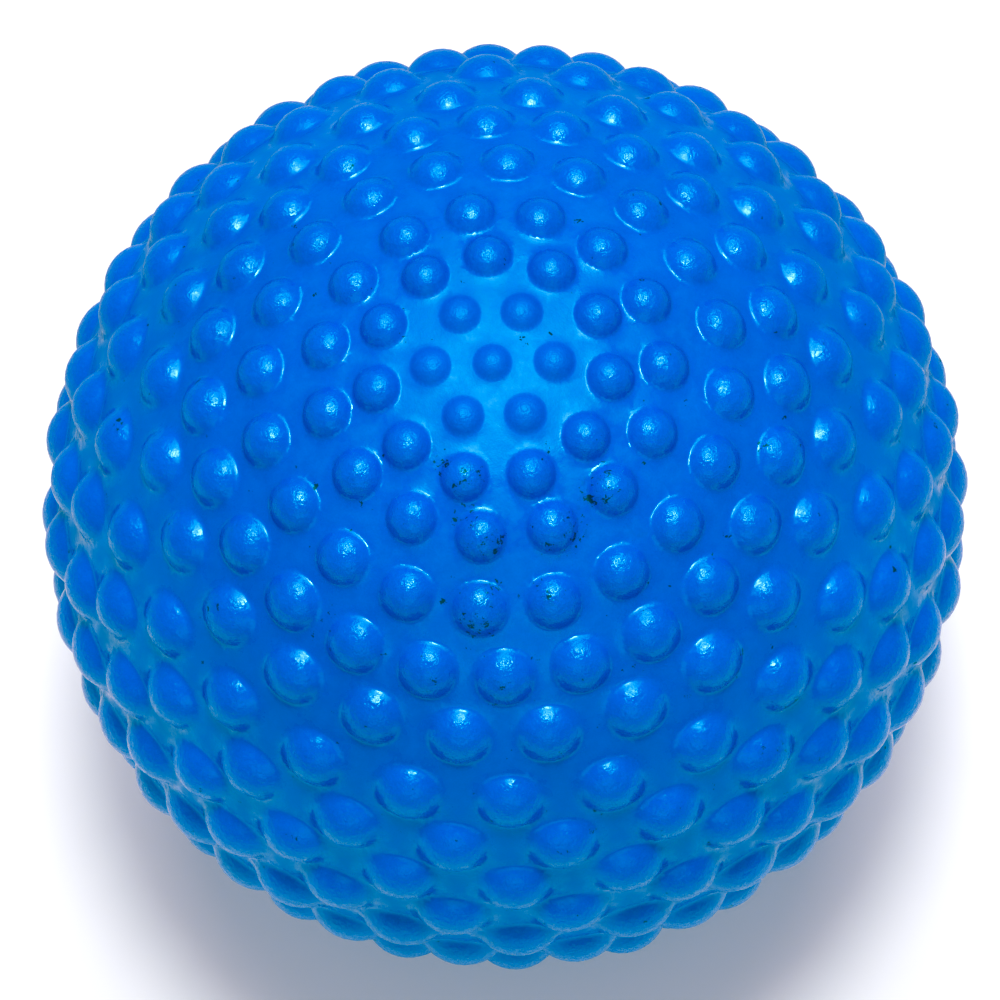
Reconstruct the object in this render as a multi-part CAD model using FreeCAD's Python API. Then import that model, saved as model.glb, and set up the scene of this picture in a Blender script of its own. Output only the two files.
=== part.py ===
import FreeCAD, Part
import math
import os

# Nubbed massage ball: a hollow moulded PVC skin with integral dome nubs, a soft valve seat bonded
# into the skin at one pole, and a stopper plug that closes the seat.
# Frame in millimetres: +Z up through the pole with the small nubs, origin on the floor under the
# ball's centre. The ball rests with the valve pole down, on the ring of nubs around the valve.

# Skin
BODY_RADIUS = 48.0          # outer radius of the wall between the nubs
WALL = 2.4                  # wall thickness
POLE_NUB_BASE = 4.0         # base diameter of a nub at the pole
EQUATOR_NUB_BASE = 8.6      # base diameter that the nubs grow to at the equator

# Rings of nubs from the upper pole to the equator:
# nubs in the ring, polar angle of the ring, angle of its first nub from +X, nub height
NUB_RINGS = (
    (1, 0.0, 0.0, 1.2),
    (6, 7.2, 0.0, 1.3),
    (11, 13.9, -7.5, 1.6),
    (15, 20.4, 0.0, 1.6),
    (20, 28.8, -5.3, 1.6),
    (24, 37.1, 0.0, 1.7),
    (24, 45.0, 7.0, 1.7),
    (24, 54.4, 0.0, 1.8),
    (24, 62.5, 6.8, 1.9),
    (24, 70.4, 0.0, 1.9),
    (24, 78.3, 6.8, 1.9),
    (24, 86.1, 0.0, 1.9),
)
LOWER_TURN = 7.5            # the lower half is the upper one mirrored and turned by half a pitch

# Valve boss moulded on the inside of the skin
HOLE_RADIUS = 3.6           # through the skin and the boss
BOSS_WALL = 4.4             # around the hole
BOSS_DEPTH = 8.0            # from the outer surface of the skin to the boss's flat inner face

# Soft valve seat, bonded in the hole
BOND_GAP = 0.05             # radial glue line between seat and hole
SEAT_FLANGE_REACH = 2.4     # flange past the hole's edge, on the boss's inner face
SEAT_FLANGE_THICKNESS = 1.6
SEAT_INSET = 0.2            # outer end of the seat below the skin's outer surface
STEM_BORE_RADIUS = 1.7

# Stopper plug
HEAD_RADIUS = 2.7
HEAD_THICKNESS = 1.4
HEAD_PROUD = 0.2            # head's crown beyond the seat's outer end
STEM_BEYOND_SEAT = 3.5      # stem that stands in the ball past the seat's inner end
TIP_TAPER = 0.7             # length and radial fall of the stem's conical tip
HEAD_FILLET = 0.4
PLUG_CLEARANCE = 0.05       # radial, stem in its bore and head in its recess
PRY_SLOT_WIDTH = 0.8        # fingernail slot across the head
PRY_SLOT_DEPTH = 0.5


def nub_base(polar_deg):
    return POLE_NUB_BASE + (EQUATOR_NUB_BASE - POLE_NUB_BASE) * polar_deg / 90.0


def nub_dome(base, height):
    """Radius of the dome's own sphere and the distance of its centre from the ball's centre."""
    tip = BODY_RADIUS + height
    rim = BODY_RADIUS * math.cos(base / 2.0 / BODY_RADIUS)
    distance = (tip ** 2 - BODY_RADIUS ** 2) / (2.0 * (tip - rim))
    return tip - distance, distance


def lowest_point():
    """How far the ring of nubs around the valve reaches below the ball's centre."""
    polar, height = NUB_RINGS[1][1], NUB_RINGS[1][3]
    radius, distance = nub_dome(nub_base(polar), height)
    return distance * math.cos(math.radians(polar)) + radius


CENTRE = FreeCAD.Vector(0.0, 0.0, lowest_point())


def direction(polar_deg, round_deg):
    """Unit vector from the ball's centre, at an angle from +Z and an angle round from +X."""
    theta, phi = math.radians(polar_deg), math.radians(round_deg)
    return FreeCAD.Vector(math.sin(theta) * math.cos(phi), math.sin(theta) * math.sin(phi), math.cos(theta))


def ring_domes(count, polar, first, height, lower):
    """Dome spheres of one ring, or of its turned mirror image in the lower half."""
    radius, distance = nub_dome(nub_base(polar), height)
    if lower:
        polar, first = 180.0 - polar, first + LOWER_TURN
    domes = []
    for i in range(count):
        way = direction(polar, first + 360.0 * i / count)
        dome = Part.makeSphere(radius)
        # the sphere's own seam and poles are turned away from the dome, into the wall
        dome.Placement = FreeCAD.Placement(CENTRE + way * distance,
                                           FreeCAD.Rotation(FreeCAD.Vector(-1.0, 0.0, 0.0), way))
        domes.append(dome)
    return domes


def nub_domes():
    """All the domes; at the lower pole the valve takes the place of the pole's nub."""
    domes = []
    for ring in NUB_RINGS:
        domes += ring_domes(*ring, lower=False)
    for ring in NUB_RINGS[1:]:
        domes += ring_domes(*ring, lower=True)
    return domes


def level(height):
    """Point on the valve axis, by its height above the outer surface of the wall at that pole."""
    return CENTRE + FreeCAD.Vector(0.0, 0.0, height - BODY_RADIUS)


def bar(radius, bottom, top):
    """Cylinder on the valve axis, between two levels."""
    return Part.makeCylinder(radius, top - bottom, level(bottom))


def ball_skin():
    solid = Part.makeSphere(BODY_RADIUS, CENTRE).multiFuse(nub_domes())
    solid = solid.cut(Part.makeSphere(BODY_RADIUS - WALL, CENTRE))
    boss = bar(HOLE_RADIUS + BOSS_WALL, 0.0, BOSS_DEPTH)
    solid = solid.fuse(boss.common(Part.makeSphere(BODY_RADIUS - WALL / 2.0, CENTRE)))
    return solid.cut(bar(HOLE_RADIUS, -2.0 * HEAD_THICKNESS, BOSS_DEPTH + WALL))


def valve_seat():
    inner_end = BOSS_DEPTH + SEAT_FLANGE_THICKNESS
    solid = bar(HOLE_RADIUS - BOND_GAP, SEAT_INSET, BOSS_DEPTH + SEAT_FLANGE_THICKNESS / 2.0)
    solid = solid.fuse(bar(HOLE_RADIUS + SEAT_FLANGE_REACH, BOSS_DEPTH, inner_end))
    recess = SEAT_INSET + HEAD_THICKNESS - HEAD_PROUD
    solid = solid.cut(bar(HEAD_RADIUS + PLUG_CLEARANCE, 0.0, recess))
    return solid.cut(bar(STEM_BORE_RADIUS, 0.0, inner_end + WALL)).removeSplitter()


def valve_plug():
    crown = SEAT_INSET - HEAD_PROUD
    tip = BOSS_DEPTH + SEAT_FLANGE_THICKNESS + STEM_BEYOND_SEAT
    radius = STEM_BORE_RADIUS - PLUG_CLEARANCE
    cone = Part.makeCone(radius, radius - TIP_TAPER, TIP_TAPER, level(tip - TIP_TAPER))
    head = bar(HEAD_RADIUS, crown, crown + HEAD_THICKNESS)
    crown_face = min(head.Faces, key=lambda face: face.CenterOfMass.z)
    head = head.makeFillet(HEAD_FILLET, crown_face.Edges)
    slot = Part.makeBox(2.0 * HEAD_RADIUS, PRY_SLOT_WIDTH, PRY_SLOT_DEPTH,
                        level(crown) - FreeCAD.Vector(HEAD_RADIUS, PRY_SLOT_WIDTH / 2.0, 0.0))
    return head.multiFuse([bar(radius, crown, tip - TIP_TAPER), cone]).cut(slot).removeSplitter()


os.makedirs("parts", exist_ok=True)
for name, build in (("ball_skin", ball_skin), ("valve_seat", valve_seat), ("valve_plug", valve_plug)):
    build().exportStep("parts/" + name + ".step")
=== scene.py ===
import math

import bpy
import numpy as np
from mathutils import Matrix, Vector
from mathutils.geometry import delaunay_2d_cdt


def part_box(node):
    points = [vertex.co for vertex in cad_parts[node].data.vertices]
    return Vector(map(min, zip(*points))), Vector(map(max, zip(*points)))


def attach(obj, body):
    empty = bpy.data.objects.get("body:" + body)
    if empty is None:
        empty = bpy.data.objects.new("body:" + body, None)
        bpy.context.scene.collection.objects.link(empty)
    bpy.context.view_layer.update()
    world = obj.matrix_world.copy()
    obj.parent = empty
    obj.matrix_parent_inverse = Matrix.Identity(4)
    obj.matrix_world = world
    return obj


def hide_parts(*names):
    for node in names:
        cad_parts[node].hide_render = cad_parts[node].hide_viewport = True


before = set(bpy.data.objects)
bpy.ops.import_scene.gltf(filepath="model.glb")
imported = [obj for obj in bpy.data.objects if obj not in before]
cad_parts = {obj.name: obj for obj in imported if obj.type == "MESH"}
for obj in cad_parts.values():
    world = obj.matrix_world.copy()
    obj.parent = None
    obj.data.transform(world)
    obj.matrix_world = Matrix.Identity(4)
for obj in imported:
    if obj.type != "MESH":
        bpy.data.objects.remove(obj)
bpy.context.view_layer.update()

MM = 0.001

# ---------------------------------------------------------------- the ball's own sizes
BODY = 48.0 * MM            # outer radius of the wall between the nubs
WALL = 2.4 * MM
POLE_BASE = 4.0 * MM        # base diameter of a nub at the pole, growing to the equator's
EQUATOR_BASE = 8.6 * MM
FILLET = 0.42 * MM          # how softly a dome runs into the wall
HOLE = 3.6 * MM             # filling hole
HOLE_EDGE = 0.18 * MM       # broken edge of the hole
BOSS = 8.0 * MM             # boss around it, inside the ball
BOSS_DEPTH = 8.0 * MM
BOSS_EDGE = 0.5 * MM        # broken edge of the boss

# nubs in the ring, polar angle, angle of the first nub, height
NUB_RINGS = (
    (1, 0.0, 0.0, 1.2),
    (6, 7.2, 0.0, 1.3),
    (11, 13.9, -7.5, 1.6),
    (15, 20.4, 0.0, 1.6),
    (20, 28.8, -5.3, 1.6),
    (24, 37.1, 0.0, 1.7),
    (24, 45.0, 7.0, 1.7),
    (24, 54.4, 0.0, 1.8),
    (24, 62.5, 6.8, 1.9),
    (24, 70.4, 0.0, 1.9),
    (24, 78.3, 6.8, 1.9),
    (24, 86.1, 0.0, 1.9),
)
TALLEST = 1.9 * MM          # the highest nubs of the table
LOWER_TURN = 7.5            # the lower half is the upper one mirrored and turned by this
LEAST_FILL = 0.955          # share of its cavity's height that the least full dome reaches
FILL_SEED = 11
POLE_FILL = 0.80            # the small nubs at the pole fill less of their cavities: height
POLE_SPAN = 0.88            # and width of what is left

WAVES = ((7.0, 3.0, -5.0), (-4.0, 9.0, 6.0), (11.0, -8.0, 4.0), (3.0, 6.0, 13.0))
WAVE_STEP = 1.7             # phase from one wave to the next
WAVE_DEPTH = 0.012 * MM     # amplitude of each wave in the wall

CENTRE = np.array([0.0, 0.0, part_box("ball_skin")[1][2] - BODY - NUB_RINGS[0][3] * MM])

# ---------------------------------------------------------------- fineness of the mesh
# rings of points round each nub: share of the base's half angle, points in the ring
NUB_POINTS = ((0.2, 6), (0.4, 11), (0.58, 15), (0.73, 18), (0.84, 20), (0.92, 22),
              (0.975, 24), (1.02, 24), (1.07, 24), (1.15, 22))
WALL_POINTS = 21000         # spread over the whole ball, before the nubs' share is taken out
NUB_CLEAR = 1.3             # wall points start this far out, in half angles of the base
HOLE_SEGMENTS = 64
HOLE_RINGS = (1.0, 3.0)     # rings of points round the hole, in broken edges from its wall
HOLE_CLEAR = 5.0            # other points start this far out, in the same measure
INNER_RINGS = 48
BATCHES = 40                # the points are worked out in batches, to save memory


# ---------------------------------------------------------------- shape of the skin
def unit(polar, around):
    """Unit vectors at a polar angle from +Z and an angle around from +X, both in radians."""
    return np.stack([np.sin(polar) * np.cos(around), np.sin(polar) * np.sin(around),
                     np.cos(polar) + 0.0 * around], axis=-1)


def nub_table():
    """Axis, half angle of the base, dome radius and dome centre distance of every nub.

    A dome is a sphere through the wall at the base's half angle, with its tip a height above
    the wall.
    """
    axes, halves, heights = [], [], []
    for lower in (False, True):
        for count, polar, first, height in NUB_RINGS[1:] if lower else NUB_RINGS:
            turn = first + 360.0 * np.arange(count) / count + (LOWER_TURN if lower else 0.0)
            axes.append(unit(np.radians(180.0 - polar if lower else polar), np.radians(turn)))
            base = POLE_BASE + (EQUATOR_BASE - POLE_BASE) * polar / 90.0
            halves.append(np.full(count, base / 2.0 / BODY))
            heights.append(np.full(count, height * MM))
    axes, halves, heights = np.concatenate(axes), np.concatenate(halves), np.concatenate(heights)
    # moulding spread: no dome is quite as tall as its cavity
    spread = np.random.default_rng(FILL_SEED).uniform(LEAST_FILL, 1.0, len(heights))
    small = 1 + NUB_RINGS[1][0]
    spread[:small] *= POLE_FILL
    halves[:small] *= POLE_SPAN
    tip = BODY + heights * spread
    distance = (tip ** 2 - BODY ** 2) / (2.0 * (tip - BODY * np.cos(halves)))
    return axes, halves, tip - distance, distance


def skin_radius(ways, nubs):
    """Distance of the outer surface from the centre, along unit vectors.

    The wall's sphere, and on it the nearest dome's own sphere, joined by a smooth maximum whose
    width is the fillet. A few long waves lower the wall by up to a tenth of a millimetre.
    """
    axes, halves, dome, distance = nubs
    rise = np.empty(len(ways))
    for part in np.array_split(np.arange(len(ways)), BATCHES):
        cosine = np.clip(ways[part] @ axes.T, -1.0, 1.0)
        near = np.argmax((cosine - 1.0) / halves ** 2, axis=1)
        c = cosine[np.arange(len(part)), near]
        d, r = distance[near], dome[near]
        under = r ** 2 - d ** 2 * (1.0 - c ** 2)
        reach = d * c + np.sqrt(np.maximum(under, 0.0)) - BODY
        # the line meets the dome on the dome's own side of the ball
        rise[part] = np.where((under > 0.0) & (c > 0.9), reach, -1.0)
    blend = np.maximum(1.0 - np.abs(rise) / FILLET, 0.0)
    surface = BODY + np.maximum(rise, 0.0) + FILLET / 4.0 * blend ** 2
    waves = np.zeros(len(ways))
    for step, wave in enumerate(WAVES):
        waves += np.sin(ways @ np.array(wave) + WAVE_STEP * step)
    return surface - (waves + len(WAVES)) * WAVE_DEPTH


def nub_points(nubs):
    """Unit vectors on rings round every nub's axis: a ring is a share of the base's half angle."""
    axes, halves = nubs[0], nubs[1]
    steep = np.abs(axes[:, 2:]) < 0.9
    side = np.cross(axes, np.where(steep, [[0.0, 0.0, 1.0]], [[1.0, 0.0, 0.0]]))
    side /= np.linalg.norm(side, axis=1, keepdims=True)
    other = np.cross(axes, side)
    points = [axes]
    for share, count in NUB_POINTS:
        turn = 2.0 * math.pi * (np.arange(count) + 0.5 * (count % 3)) / count
        angle = (share * halves)[:, None, None]
        ring = (np.cos(turn)[None, :, None] * side[:, None, :]
                + np.sin(turn)[None, :, None] * other[:, None, :])
        points.append((np.cos(angle) * axes[:, None, :] + np.sin(angle) * ring).reshape(-1, 3))
    return np.concatenate(points)


def wall_points(nubs):
    """Evenly spread unit vectors on a golden spiral, less those that a nub covers."""
    k = np.arange(WALL_POINTS) + 0.5
    ways = unit(np.arccos(1.0 - 2.0 * k / WALL_POINTS), math.pi * (1.0 + 5.0 ** 0.5) * k)
    axes, halves = nubs[0], nubs[1]
    clear = np.ones(WALL_POINTS, bool)
    for part in np.array_split(np.arange(WALL_POINTS), BATCHES):
        cosine = ways[part] @ axes.T
        clear[part] = np.all(cosine < np.cos(NUB_CLEAR * halves), axis=1)
    return ways[clear]


def hole_ring(radius):
    """Unit vectors on a circle of this radius round the hole, at the lower pole."""
    around = 2.0 * math.pi * np.arange(HOLE_SEGMENTS) / HOLE_SEGMENTS
    return unit(math.pi - np.arcsin(radius / BODY), around)


def surface_triangles(ways):
    """Triangles that join each point of the surface to its neighbours.

    The unit vectors go to a plane by stereographic projection from the hole's pole, which keeps
    circles circular, so the plane's Delaunay triangles are the sphere's, with the hole left open.
    """
    flat = ways[:, :2] / (1.0 + ways[:, 2:])
    result = delaunay_2d_cdt([Vector(point) for point in flat.tolist()], [], [], 0, 1e-9)
    source = np.array([origin[0] for origin in result[3]])
    tris = source[np.array(result[2])]
    a, b, c = (ways[tris[:, i]] for i in range(3))
    inward = np.einsum("ij,ij->i", np.cross(b - a, c - a), a + b + c) < 0.0
    tris[inward] = tris[inward][:, ::-1]
    return tris


def inner_profile():
    """Radius and height from the centre of the skin's inside, from the hole's edge to the top.

    Hole wall, flat boss face, boss side, then the inner sphere.
    """
    edge = -math.sqrt(BODY ** 2 - HOLE ** 2)
    face = -(BODY - BOSS_DEPTH)
    inner = BODY - WALL
    foot = math.asin(BOSS / inner)
    rows = [(HOLE, edge + HOLE_EDGE), (HOLE, 0.5 * (edge + face)), (HOLE, face - HOLE_EDGE),
            (HOLE + HOLE_EDGE, face), (BOSS - BOSS_EDGE, face), (BOSS, face - BOSS_EDGE)]
    for angle in np.linspace(foot, math.pi, INNER_RINGS)[:-1]:
        rows.append((inner * math.sin(angle), -inner * math.cos(angle)))
    return np.array(rows)


def make_skin():
    """One closed mesh: the outer surface with its hole, and the inside turned about the axis."""
    nubs = nub_table()
    ways = np.concatenate([hole_ring(HOLE + edges * HOLE_EDGE) for edges in HOLE_RINGS]
                          + [nub_points(nubs), wall_points(nubs)])
    from_hole = np.arccos(np.clip(-ways[:, 2], -1.0, 1.0))
    keep = from_hole > math.asin((HOLE + HOLE_CLEAR * HOLE_EDGE) / BODY)
    keep[:len(HOLE_RINGS) * HOLE_SEGMENTS] = True
    ways = ways[keep]
    tris = surface_triangles(ways)
    outer = ways * skin_radius(ways, nubs)[:, None]

    rows = inner_profile()
    around = 2.0 * math.pi * np.arange(HOLE_SEGMENTS) / HOLE_SEGMENTS
    inside = np.stack([rows[:, :1] * np.cos(around), rows[:, :1] * np.sin(around),
                       np.repeat(rows[:, 1:], HOLE_SEGMENTS, axis=1)], axis=-1).reshape(-1, 3)
    top = np.array([[0.0, 0.0, BODY - WALL]])
    points = np.concatenate([outer, inside, top]) + CENTRE

    # quads from the hole's outer edge up the inside, ring by ring, and a fan that closes the top
    ring = np.arange(HOLE_SEGMENTS)
    after = (ring + 1) % HOLE_SEGMENTS
    starts = np.concatenate([[0], len(outer) + HOLE_SEGMENTS * np.arange(len(rows))])
    low, high = starts[:-1, None], starts[1:, None]
    quads = np.stack([low + ring, high + ring, high + after, low + after], axis=-1).reshape(-1, 4)
    last = starts[-1]
    fan = np.stack([last + after, last + ring, np.full(HOLE_SEGMENTS, len(points) - 1)], axis=-1)

    mesh = bpy.data.meshes.new("skin")
    mesh.from_pydata(points.tolist(), [], tris.tolist() + quads.tolist() + fan.tolist())
    mesh.validate()
    mesh.update()
    piece = bpy.data.objects.new("skin", mesh)
    bpy.context.scene.collection.objects.link(piece)
    mesh.shade_smooth()

    offsets = points - CENTRE
    far = np.linalg.norm(offsets, axis=1)
    all_ways = offsets / far[:, None]
    outside = far > BODY - 0.5 * MM
    paint(piece, "height", np.clip((far - BODY) / TALLEST, 0.0, 1.0) * outside)
    paint(piece, "polish", polishing(all_ways, nubs) * outside)
    paint(piece, "soil", soiling(all_ways) * outside)
    return piece


# ---------------------------------------------------------------- wear and soiling
POLISH_EDGE = 1.4           # rubbed glossy out to here, in half angles of a nub's base
POLISH_FADE = 0.25
MATT_POLE = math.radians(9.0)       # matt round the pole, rubbed past this angle and a fade
MATT_FADE = math.radians(6.0)

STRAY_SOIL = 0.03           # share of the specks kept away from the patches
# worn-in dirt: polar angle, angle around, reach in millimetres, share of the specks kept
SOIL_PATCHES = (
    (12.8, -119.8, 2.2, 0.70), (13.8, -102.9, 2.4, 0.80), (20.7, -93.9, 3.4, 0.85),
    (18.1, -101.9, 2.0, 0.70), (21.2, -64.9, 3.2, 1.00), (22.9, -71.8, 2.4, 0.80),
    (19.0, -54.2, 3.0, 1.00), (17.7, -46.7, 2.0, 0.80), (26.7, -92.8, 2.6, 0.80),
    (30.7, -95.5, 2.6, 1.00), (27.5, -78.7, 2.6, 0.80), (26.4, -100.1, 1.8, 0.50),
    (38.6, -91.0, 3.0, 0.60), (33.7, -94.9, 1.8, 0.60), (20.0, -120.3, 2.4, 0.35),
    (20.5, -141.8, 2.6, 0.50), (26.9, -51.2, 2.4, 0.30), (47.2, -47.9, 3.0, 0.40),
    (61.3, -51.7, 3.4, 0.45), (56.9, -46.6, 2.4, 0.40), (54.4, 176.4, 3.0, 0.35),
    (51.8, 179.1, 2.2, 0.35), (23.3, 153.4, 1.6, 0.35), (16.1, -40.9, 2.4, 0.30),
    (37.5, -123.0, 2.4, 0.30), (33.8, -56.2, 3.0, 0.25), (38.2, -104.2, 2.4, 0.30),
)


def soiling(ways):
    """How dirty each unit vector is, 0 to 1: the largest patch there, fading as a smooth step."""
    dirt = np.full(len(ways), STRAY_SOIL)
    for polar, around, reach, share in SOIL_PATCHES:
        centre = unit(np.radians(polar), np.radians(around))
        away = np.arccos(np.clip(ways @ centre, -1.0, 1.0)) * BODY / (reach * MM)
        fade = np.clip(1.0 - away, 0.0, 1.0)
        dirt = np.maximum(dirt, share * fade * fade * (3.0 - 2.0 * fade))
    return dirt


def polishing(ways, nubs):
    """How polished each unit vector is: 1 on the nubs and their feet, 0 on the wall and pole."""
    axes, halves = nubs[0], nubs[1]
    share = np.empty(len(ways))
    for part in np.array_split(np.arange(len(ways)), BATCHES):
        away = np.arccos(np.clip(ways[part] @ axes.T, -1.0, 1.0))
        share[part] = np.min(away / halves, axis=1)
    foot = np.clip((POLISH_EDGE - share) / POLISH_FADE, 0.0, 1.0)
    polar = np.arccos(np.clip(ways[:, 2], -1.0, 1.0))
    return foot * np.clip((polar - MATT_POLE) / MATT_FADE, 0.0, 1.0)


def paint(piece, name, values):
    """Store one number at each point of a piece, for its material to read."""
    numbers = values.astype(np.float32)
    piece.data.attributes.new(name, "FLOAT", "POINT").data.foreach_set("value", numbers)


# ---------------------------------------------------------------- materials
class Nodes:
    """A small helper that adds nodes to one material and joins them."""

    def __init__(self, name):
        self.material = bpy.data.materials.new(name)
        self.material.use_nodes = True
        self.tree = self.material.node_tree
        self.shader = self.tree.nodes["Principled BSDF"]
        self.place = self.add("ShaderNodeTexCoord").outputs["Object"]

    def add(self, kind, **settings):
        node = self.tree.nodes.new(kind)
        for name, value in settings.items():
            setattr(node, name, value)
        return node

    def put(self, socket, value):
        if isinstance(value, bpy.types.NodeSocket):
            self.tree.links.new(value, socket)
        else:
            socket.default_value = value

    def noise(self, scale, detail=3.0, roughness=0.5, output="Fac"):
        node = self.add("ShaderNodeTexNoise")
        self.put(node.inputs["Vector"], self.place)
        node.inputs["Scale"].default_value = scale
        node.inputs["Detail"].default_value = detail
        node.inputs["Roughness"].default_value = roughness
        return node.outputs[output]

    def cells(self, scale, place):
        node = self.add("ShaderNodeTexVoronoi")
        self.put(node.inputs["Vector"], place)
        node.inputs["Scale"].default_value = scale
        return node

    def math(self, operation, a, b):
        node = self.add("ShaderNodeMath", operation=operation)
        self.put(node.inputs[0], a)
        self.put(node.inputs[1], b)
        return node.outputs[0]

    def spread(self, value, low, high, to_low, to_high, smooth=False):
        kind = "SMOOTHSTEP" if smooth else "LINEAR"
        node = self.add("ShaderNodeMapRange", interpolation_type=kind)
        for socket, number in zip(node.inputs, (value, low, high, to_low, to_high)):
            self.put(socket, number)
        return node.outputs["Result"]

    def blend(self, share, a, b):
        node = self.add("ShaderNodeMix", data_type="RGBA")
        self.put(node.inputs[0], share)
        self.put(node.inputs[6], a)
        self.put(node.inputs[7], b)
        return node.outputs[2]

    def field(self, name):
        return self.add("ShaderNodeAttribute", attribute_name=name).outputs["Fac"]

    def bump(self, height, distance, strength=1.0, before=None):
        node = self.add("ShaderNodeBump")
        node.inputs["Strength"].default_value = strength
        node.inputs["Distance"].default_value = distance
        self.put(node.inputs["Height"], height)
        if before is not None:
            self.put(node.inputs["Normal"], before)
        return node.outputs["Normal"]

    def finish(self, **sockets):
        for name, value in sockets.items():
            self.put(self.shader.inputs[name.replace("_", " ")], value)
        return self.material


def colour(red, green, blue):
    return (red, green, blue, 1.0)


# the skin's colours
DEEP_BLUE = colour(0.0, 0.071, 0.52)
CLEAR_BLUE = colour(0.0, 0.084, 0.59)
MOTTLE_BLUE = colour(0.0, 0.125, 0.70)
# painted shade: darker blue for the wall and the nubs' feet, in the valleys between the nubs
VALLEY_SHADE_BLUE = colour(0.0, 0.062, 0.45)
GRAIN_BLUE = colour(0.0, 0.045, 0.40)
SMEAR = colour(0.004, 0.045, 0.20)
DIRT = colour(0.004, 0.005, 0.036)
SHEEN_TINT = colour(0.40, 1.0, 0.90)
PVC_IOR = 1.66

# scales of the skin's patterns, per metre
CLOUD_SCALE = 55.0
SPECK_FIELD_SCALE = 520.0   # where specks gather
MOTTLE_SCALE = 900.0
RUB_SCALE = 1300.0
SMEAR_SCALE = 1500.0
DIMPLE_SCALE = 1700.0
RAGGED_SCALE = 2600.0
GRAIN_SCALE = 5200.0
# specks: cells per metre, radius of the largest as a share of a cell
SPECKS = ((800.0, 0.46), (1700.0, 0.50))
RAGGED = 1.3 * MM           # how far a speck's outline wanders

GRAIN_DEPTH = 0.008 * MM
DIMPLE_DEPTH = 0.14 * MM
SPECK_ROUGHNESS = 0.3       # dirt is duller than the skin by this


def speckle(n, soil):
    """Share of dirt specks: ragged cells of mixed sizes, kept where the skin is soiled."""
    ragged = n.add("ShaderNodeVectorMath", operation="MULTIPLY_ADD")
    n.put(ragged.inputs[0], n.noise(RAGGED_SCALE, 2.0, 0.5, "Color"))
    ragged.inputs[1].default_value = (RAGGED, RAGGED, RAGGED)
    n.put(ragged.inputs[2], n.place)
    dots = []
    for scale, largest in SPECKS:
        cell = n.cells(scale, ragged.outputs[0])
        radius = n.spread(cell.outputs["Color"], 0.2, 1.0, 0.0, largest)
        dots.append(n.math("LESS_THAN", cell.outputs["Distance"], radius))
    gathered = n.spread(n.noise(SPECK_FIELD_SCALE), 0.30, 0.62, 0.0, 0.68)
    return n.math("MULTIPLY", n.math("MAXIMUM", *dots), n.math("LESS_THAN", gathered, soil))


def skin_material():
    """Glossy blue PVC: mottled colour, painted shade on the wall and the nubs' feet, a fine grain,
    rubbed and matt spots, and dirt.
    """
    n = Nodes("blue_pvc")
    height, soil, polish = n.field("height"), n.field("soil"), n.field("polish")

    cloud = n.noise(CLOUD_SCALE, 3.0, 0.55)
    mottle = n.noise(MOTTLE_SCALE, 4.0, 0.6)
    grain = n.noise(GRAIN_SCALE, 2.0)
    base = n.blend(n.spread(cloud, 0.35, 0.65, 0.0, 1.0), DEEP_BLUE, CLEAR_BLUE)
    base = n.blend(n.spread(mottle, 0.35, 0.68, 0.0, 0.30), base, MOTTLE_BLUE)
    # painted shade: the wall and the lower part of each nub darkened by height, in the valleys
    # between the nubs
    base = n.blend(n.spread(height, 0.0, 0.30, 0.25, 0.0, True), base, VALLEY_SHADE_BLUE)
    base = n.blend(n.spread(grain, 0.32, 0.68, 0.0, 0.30), base, GRAIN_BLUE)

    specks = speckle(n, soil)
    streaks = n.spread(n.noise(SMEAR_SCALE, 5.0, 0.7), 0.52, 0.66, 0.0, 1.0)
    smear = n.math("MULTIPLY", streaks, n.math("MULTIPLY", soil, 0.62))
    base = n.blend(smear, base, SMEAR)
    base = n.blend(specks, base, DIRT)

    rubbed = n.spread(n.noise(RUB_SCALE, 3.0, 0.6), 0.36, 0.64, 0.15, 0.36)
    matt = n.spread(mottle, 0.3, 0.7, 0.42, 0.54)
    rough = n.math("ADD", n.math("MULTIPLY", rubbed, polish),
                   n.math("MULTIPLY", matt, n.math("SUBTRACT", 1.0, polish)))
    rough = n.math("ADD", rough, n.math("MULTIPLY", specks, SPECK_ROUGHNESS))
    dimple = n.math("MULTIPLY", n.noise(DIMPLE_SCALE, 3.0, 0.6),
                    n.spread(height, 0.1, 0.5, 0.15, 1.0))
    normal = n.bump(dimple, DIMPLE_DEPTH, 1.0, n.bump(grain, GRAIN_DEPTH))
    n.shader.inputs["Specular Tint"].default_value = SHEEN_TINT
    n.shader.inputs["IOR"].default_value = PVC_IOR
    return n.finish(Base_Color=base, Roughness=rough, Normal=normal)


def seat_material():
    """Soft darker rubber of the valve seat: matt, with a moulded grain and paler scuffs."""
    n = Nodes("valve_rubber_blue")
    grain = n.noise(2600.0, 4.0, 0.6)
    scuff = n.noise(500.0, 3.0, 0.6)
    base = n.blend(n.spread(grain, 0.3, 0.7, 0.0, 1.0),
                   colour(0.0, 0.060, 0.36), colour(0.0, 0.085, 0.46))
    base = n.blend(n.spread(scuff, 0.58, 0.72, 0.0, 0.35), base, colour(0.02, 0.15, 0.60))
    return n.finish(Base_Color=base, Roughness=n.spread(scuff, 0.3, 0.7, 0.48, 0.66),
                    Normal=n.bump(grain, 0.05 * MM, 0.6))


def plug_material():
    """Off-white moulded plastic of the plug: satin, with a faint flow pattern and grime in it."""
    n = Nodes("plug_white")
    flow = n.noise(650.0, 4.0, 0.55)
    grime = n.noise(1700.0, 5.0, 0.7)
    base = n.blend(n.spread(flow, 0.3, 0.7, 0.0, 1.0),
                   colour(0.66, 0.68, 0.68), colour(0.80, 0.81, 0.79))
    base = n.blend(n.spread(grime, 0.56, 0.74, 0.0, 0.30), base, colour(0.30, 0.29, 0.26))
    return n.finish(Base_Color=base, Roughness=n.spread(flow, 0.3, 0.7, 0.34, 0.50),
                    Normal=n.bump(flow, 0.03 * MM, 0.5))


# ---------------------------------------------------------------- stage
AMBIENT = 0.42
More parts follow.
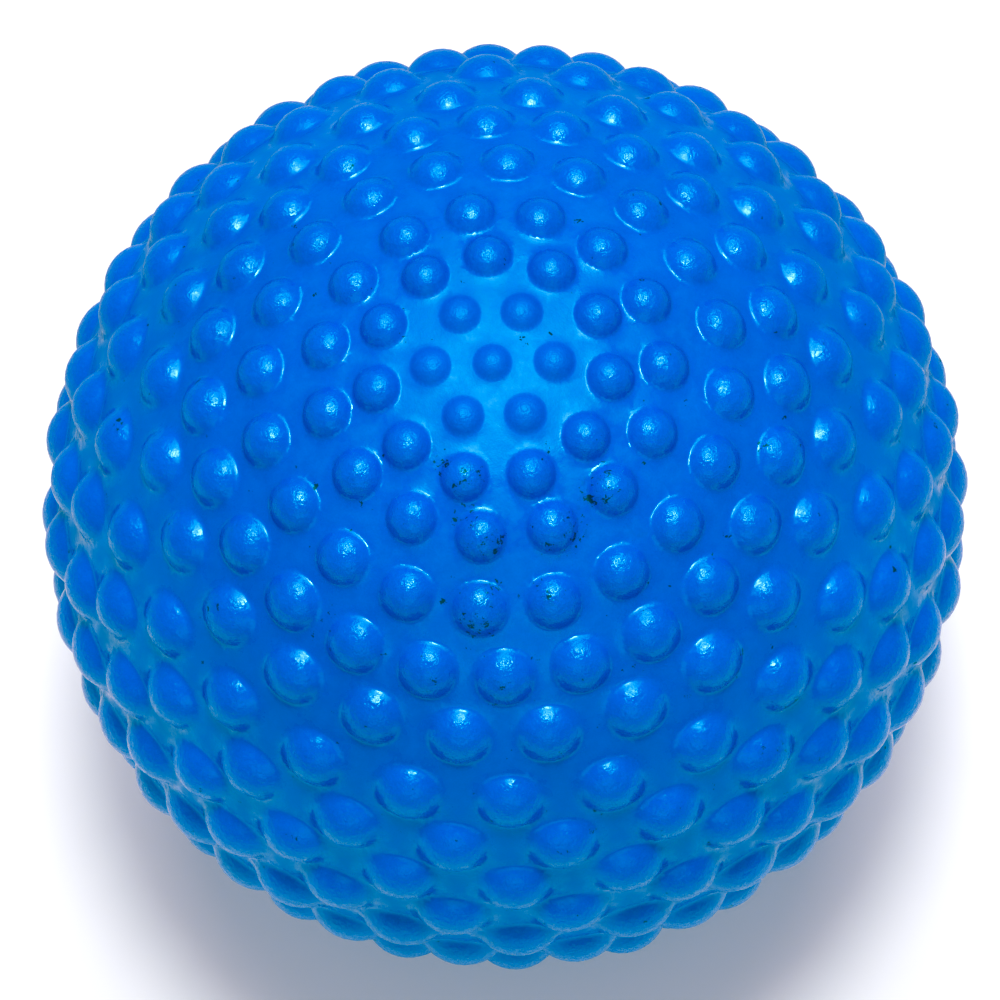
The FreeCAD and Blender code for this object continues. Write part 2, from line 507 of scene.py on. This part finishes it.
# lamps: way from the ball's centre, distance, width and height, power
LAMPS = (
    ("window", (0.036, 0.400, 0.916), 0.9, (0.60, 0.80), 5.5),
    ("fill", (0.0, -0.80, 0.60), 1.0, (0.9, 0.6), 1.2),
    ("spot", (0.030, 0.14, 0.990), 0.9, (0.19, 0.19), 3.6),
)
RED_RESPONSE = ((0.11, 0.0), (0.20, 0.09), (0.34, 0.32), (0.7, 0.7))

LENS = 143.8
SENSOR = 36.0
SHIFT = (-0.005, 0.006)
VIEW_FROM = (0.01488, -0.28983, 0.957)
VIEW_UP = (0.0384, 0.9566, 0.2891)
VIEW_DISTANCE = 9.0 * BODY

FLOOR_HALF = 6.0
FLOOR_WHITE = colour(0.94, 0.94, 0.94)
BACK_STARTS, BACK_ENDS = -0.02, 0.06    # where the floor's back part fades in, along Y
BACK_SHADE = 0.42                       # how much darker reflections see it


def floor():
    """A pale flat floor, drawn on its upper side only, and darker to reflections at the back."""
    h = FLOOR_HALF
    mesh = bpy.data.meshes.new("floor")
    mesh.from_pydata([(-h, -h, 0.0), (h, -h, 0.0), (h, h, 0.0), (-h, h, 0.0)], [], [(0, 1, 2, 3)])
    piece = bpy.data.objects.new("floor", mesh)
    bpy.context.scene.collection.objects.link(piece)
    n = Nodes("floor_pale")
    place = n.add("ShaderNodeSeparateXYZ")
    n.put(place.inputs[0], n.place)
    back = n.spread(place.outputs[1], BACK_STARTS, BACK_ENDS, 0.0, BACK_SHADE, True)
    shade = n.math("MULTIPLY", back, n.add("ShaderNodeLightPath").outputs["Is Glossy Ray"])
    n.finish(Base_Color=n.blend(shade, FLOOR_WHITE, colour(0.0, 0.0, 0.0)), Roughness=0.9)
    n.shader.inputs["Specular IOR Level"].default_value = 0.0
    under = n.add("ShaderNodeNewGeometry").outputs["Backfacing"]
    clear = n.add("ShaderNodeBsdfTransparent")
    mix = n.add("ShaderNodeMixShader")
    n.put(mix.inputs[0], under)
    n.put(mix.inputs[1], n.shader.outputs[0])
    n.put(mix.inputs[2], clear.outputs[0])
    n.put(n.tree.nodes["Material Output"].inputs["Surface"], mix.outputs[0])
    mesh.materials.append(n.material)


def lamp(name, way, distance, size, power):
    """A rounded soft light, way from the ball's centre, that looks back at it."""
    data = bpy.data.lights.new(name, "AREA")
    data.shape, data.energy = "ELLIPSE", power
    data.size, data.size_y = size
    piece = bpy.data.objects.new(name, data)
    way = Vector(way).normalized()
    piece.location = Vector(CENTRE) + way * distance
    piece.rotation_mode = "QUATERNION"
    piece.rotation_quaternion = way.to_track_quat("Z", "Y")
    bpy.context.scene.collection.objects.link(piece)


def studio():
    """White surroundings, a large soft window light behind the ball's top, a fill and a spot."""
    world = bpy.data.worlds.new("studio")
    world.use_nodes = True
    world.node_tree.nodes["Background"].inputs[0].default_value = colour(1.0, 1.0, 1.0)
    world.node_tree.nodes["Background"].inputs[1].default_value = AMBIENT
    bpy.context.scene.world = world
    for settings in LAMPS:
        lamp(*settings)


def colour_response():
    """The view's own response: weak red is lost beside strong blue, and white stays white."""
    settings = bpy.context.scene.view_settings
    settings.view_transform = "Standard"
    settings.use_curve_mapping = True
    red = settings.curve_mapping.curves[0]
    for at, value in RED_RESPONSE:
        red.points.new(at, value)
    settings.curve_mapping.update()


def camera():
    """A long lens that looks down on the pole with the small nubs."""
    data = bpy.data.cameras.new("camera")
    data.lens, data.sensor_width = LENS, SENSOR
    data.shift_x, data.shift_y = SHIFT
    data.clip_start, data.clip_end = 0.01, 50.0
    piece = bpy.data.objects.new("camera", data)
    back = Vector(VIEW_FROM).normalized()
    right = Vector(VIEW_UP).cross(back).normalized()
    turn = Matrix((right, back.cross(right), back)).transposed().to_4x4()
    piece.matrix_world = Matrix.Translation(Vector(CENTRE) + back * VIEW_DISTANCE) @ turn
    bpy.context.scene.collection.objects.link(piece)
    bpy.context.scene.camera = piece


# ---------------------------------------------------------------- the scene
camera()
studio()
floor()
colour_response()

skin = make_skin()
skin.data.materials.append(skin_material())
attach(skin, "ball")
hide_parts("ball_skin")

for node, material in (("valve_seat", seat_material()), ("valve_plug", plug_material())):
    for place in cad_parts[node].material_slots:
        place.material = material
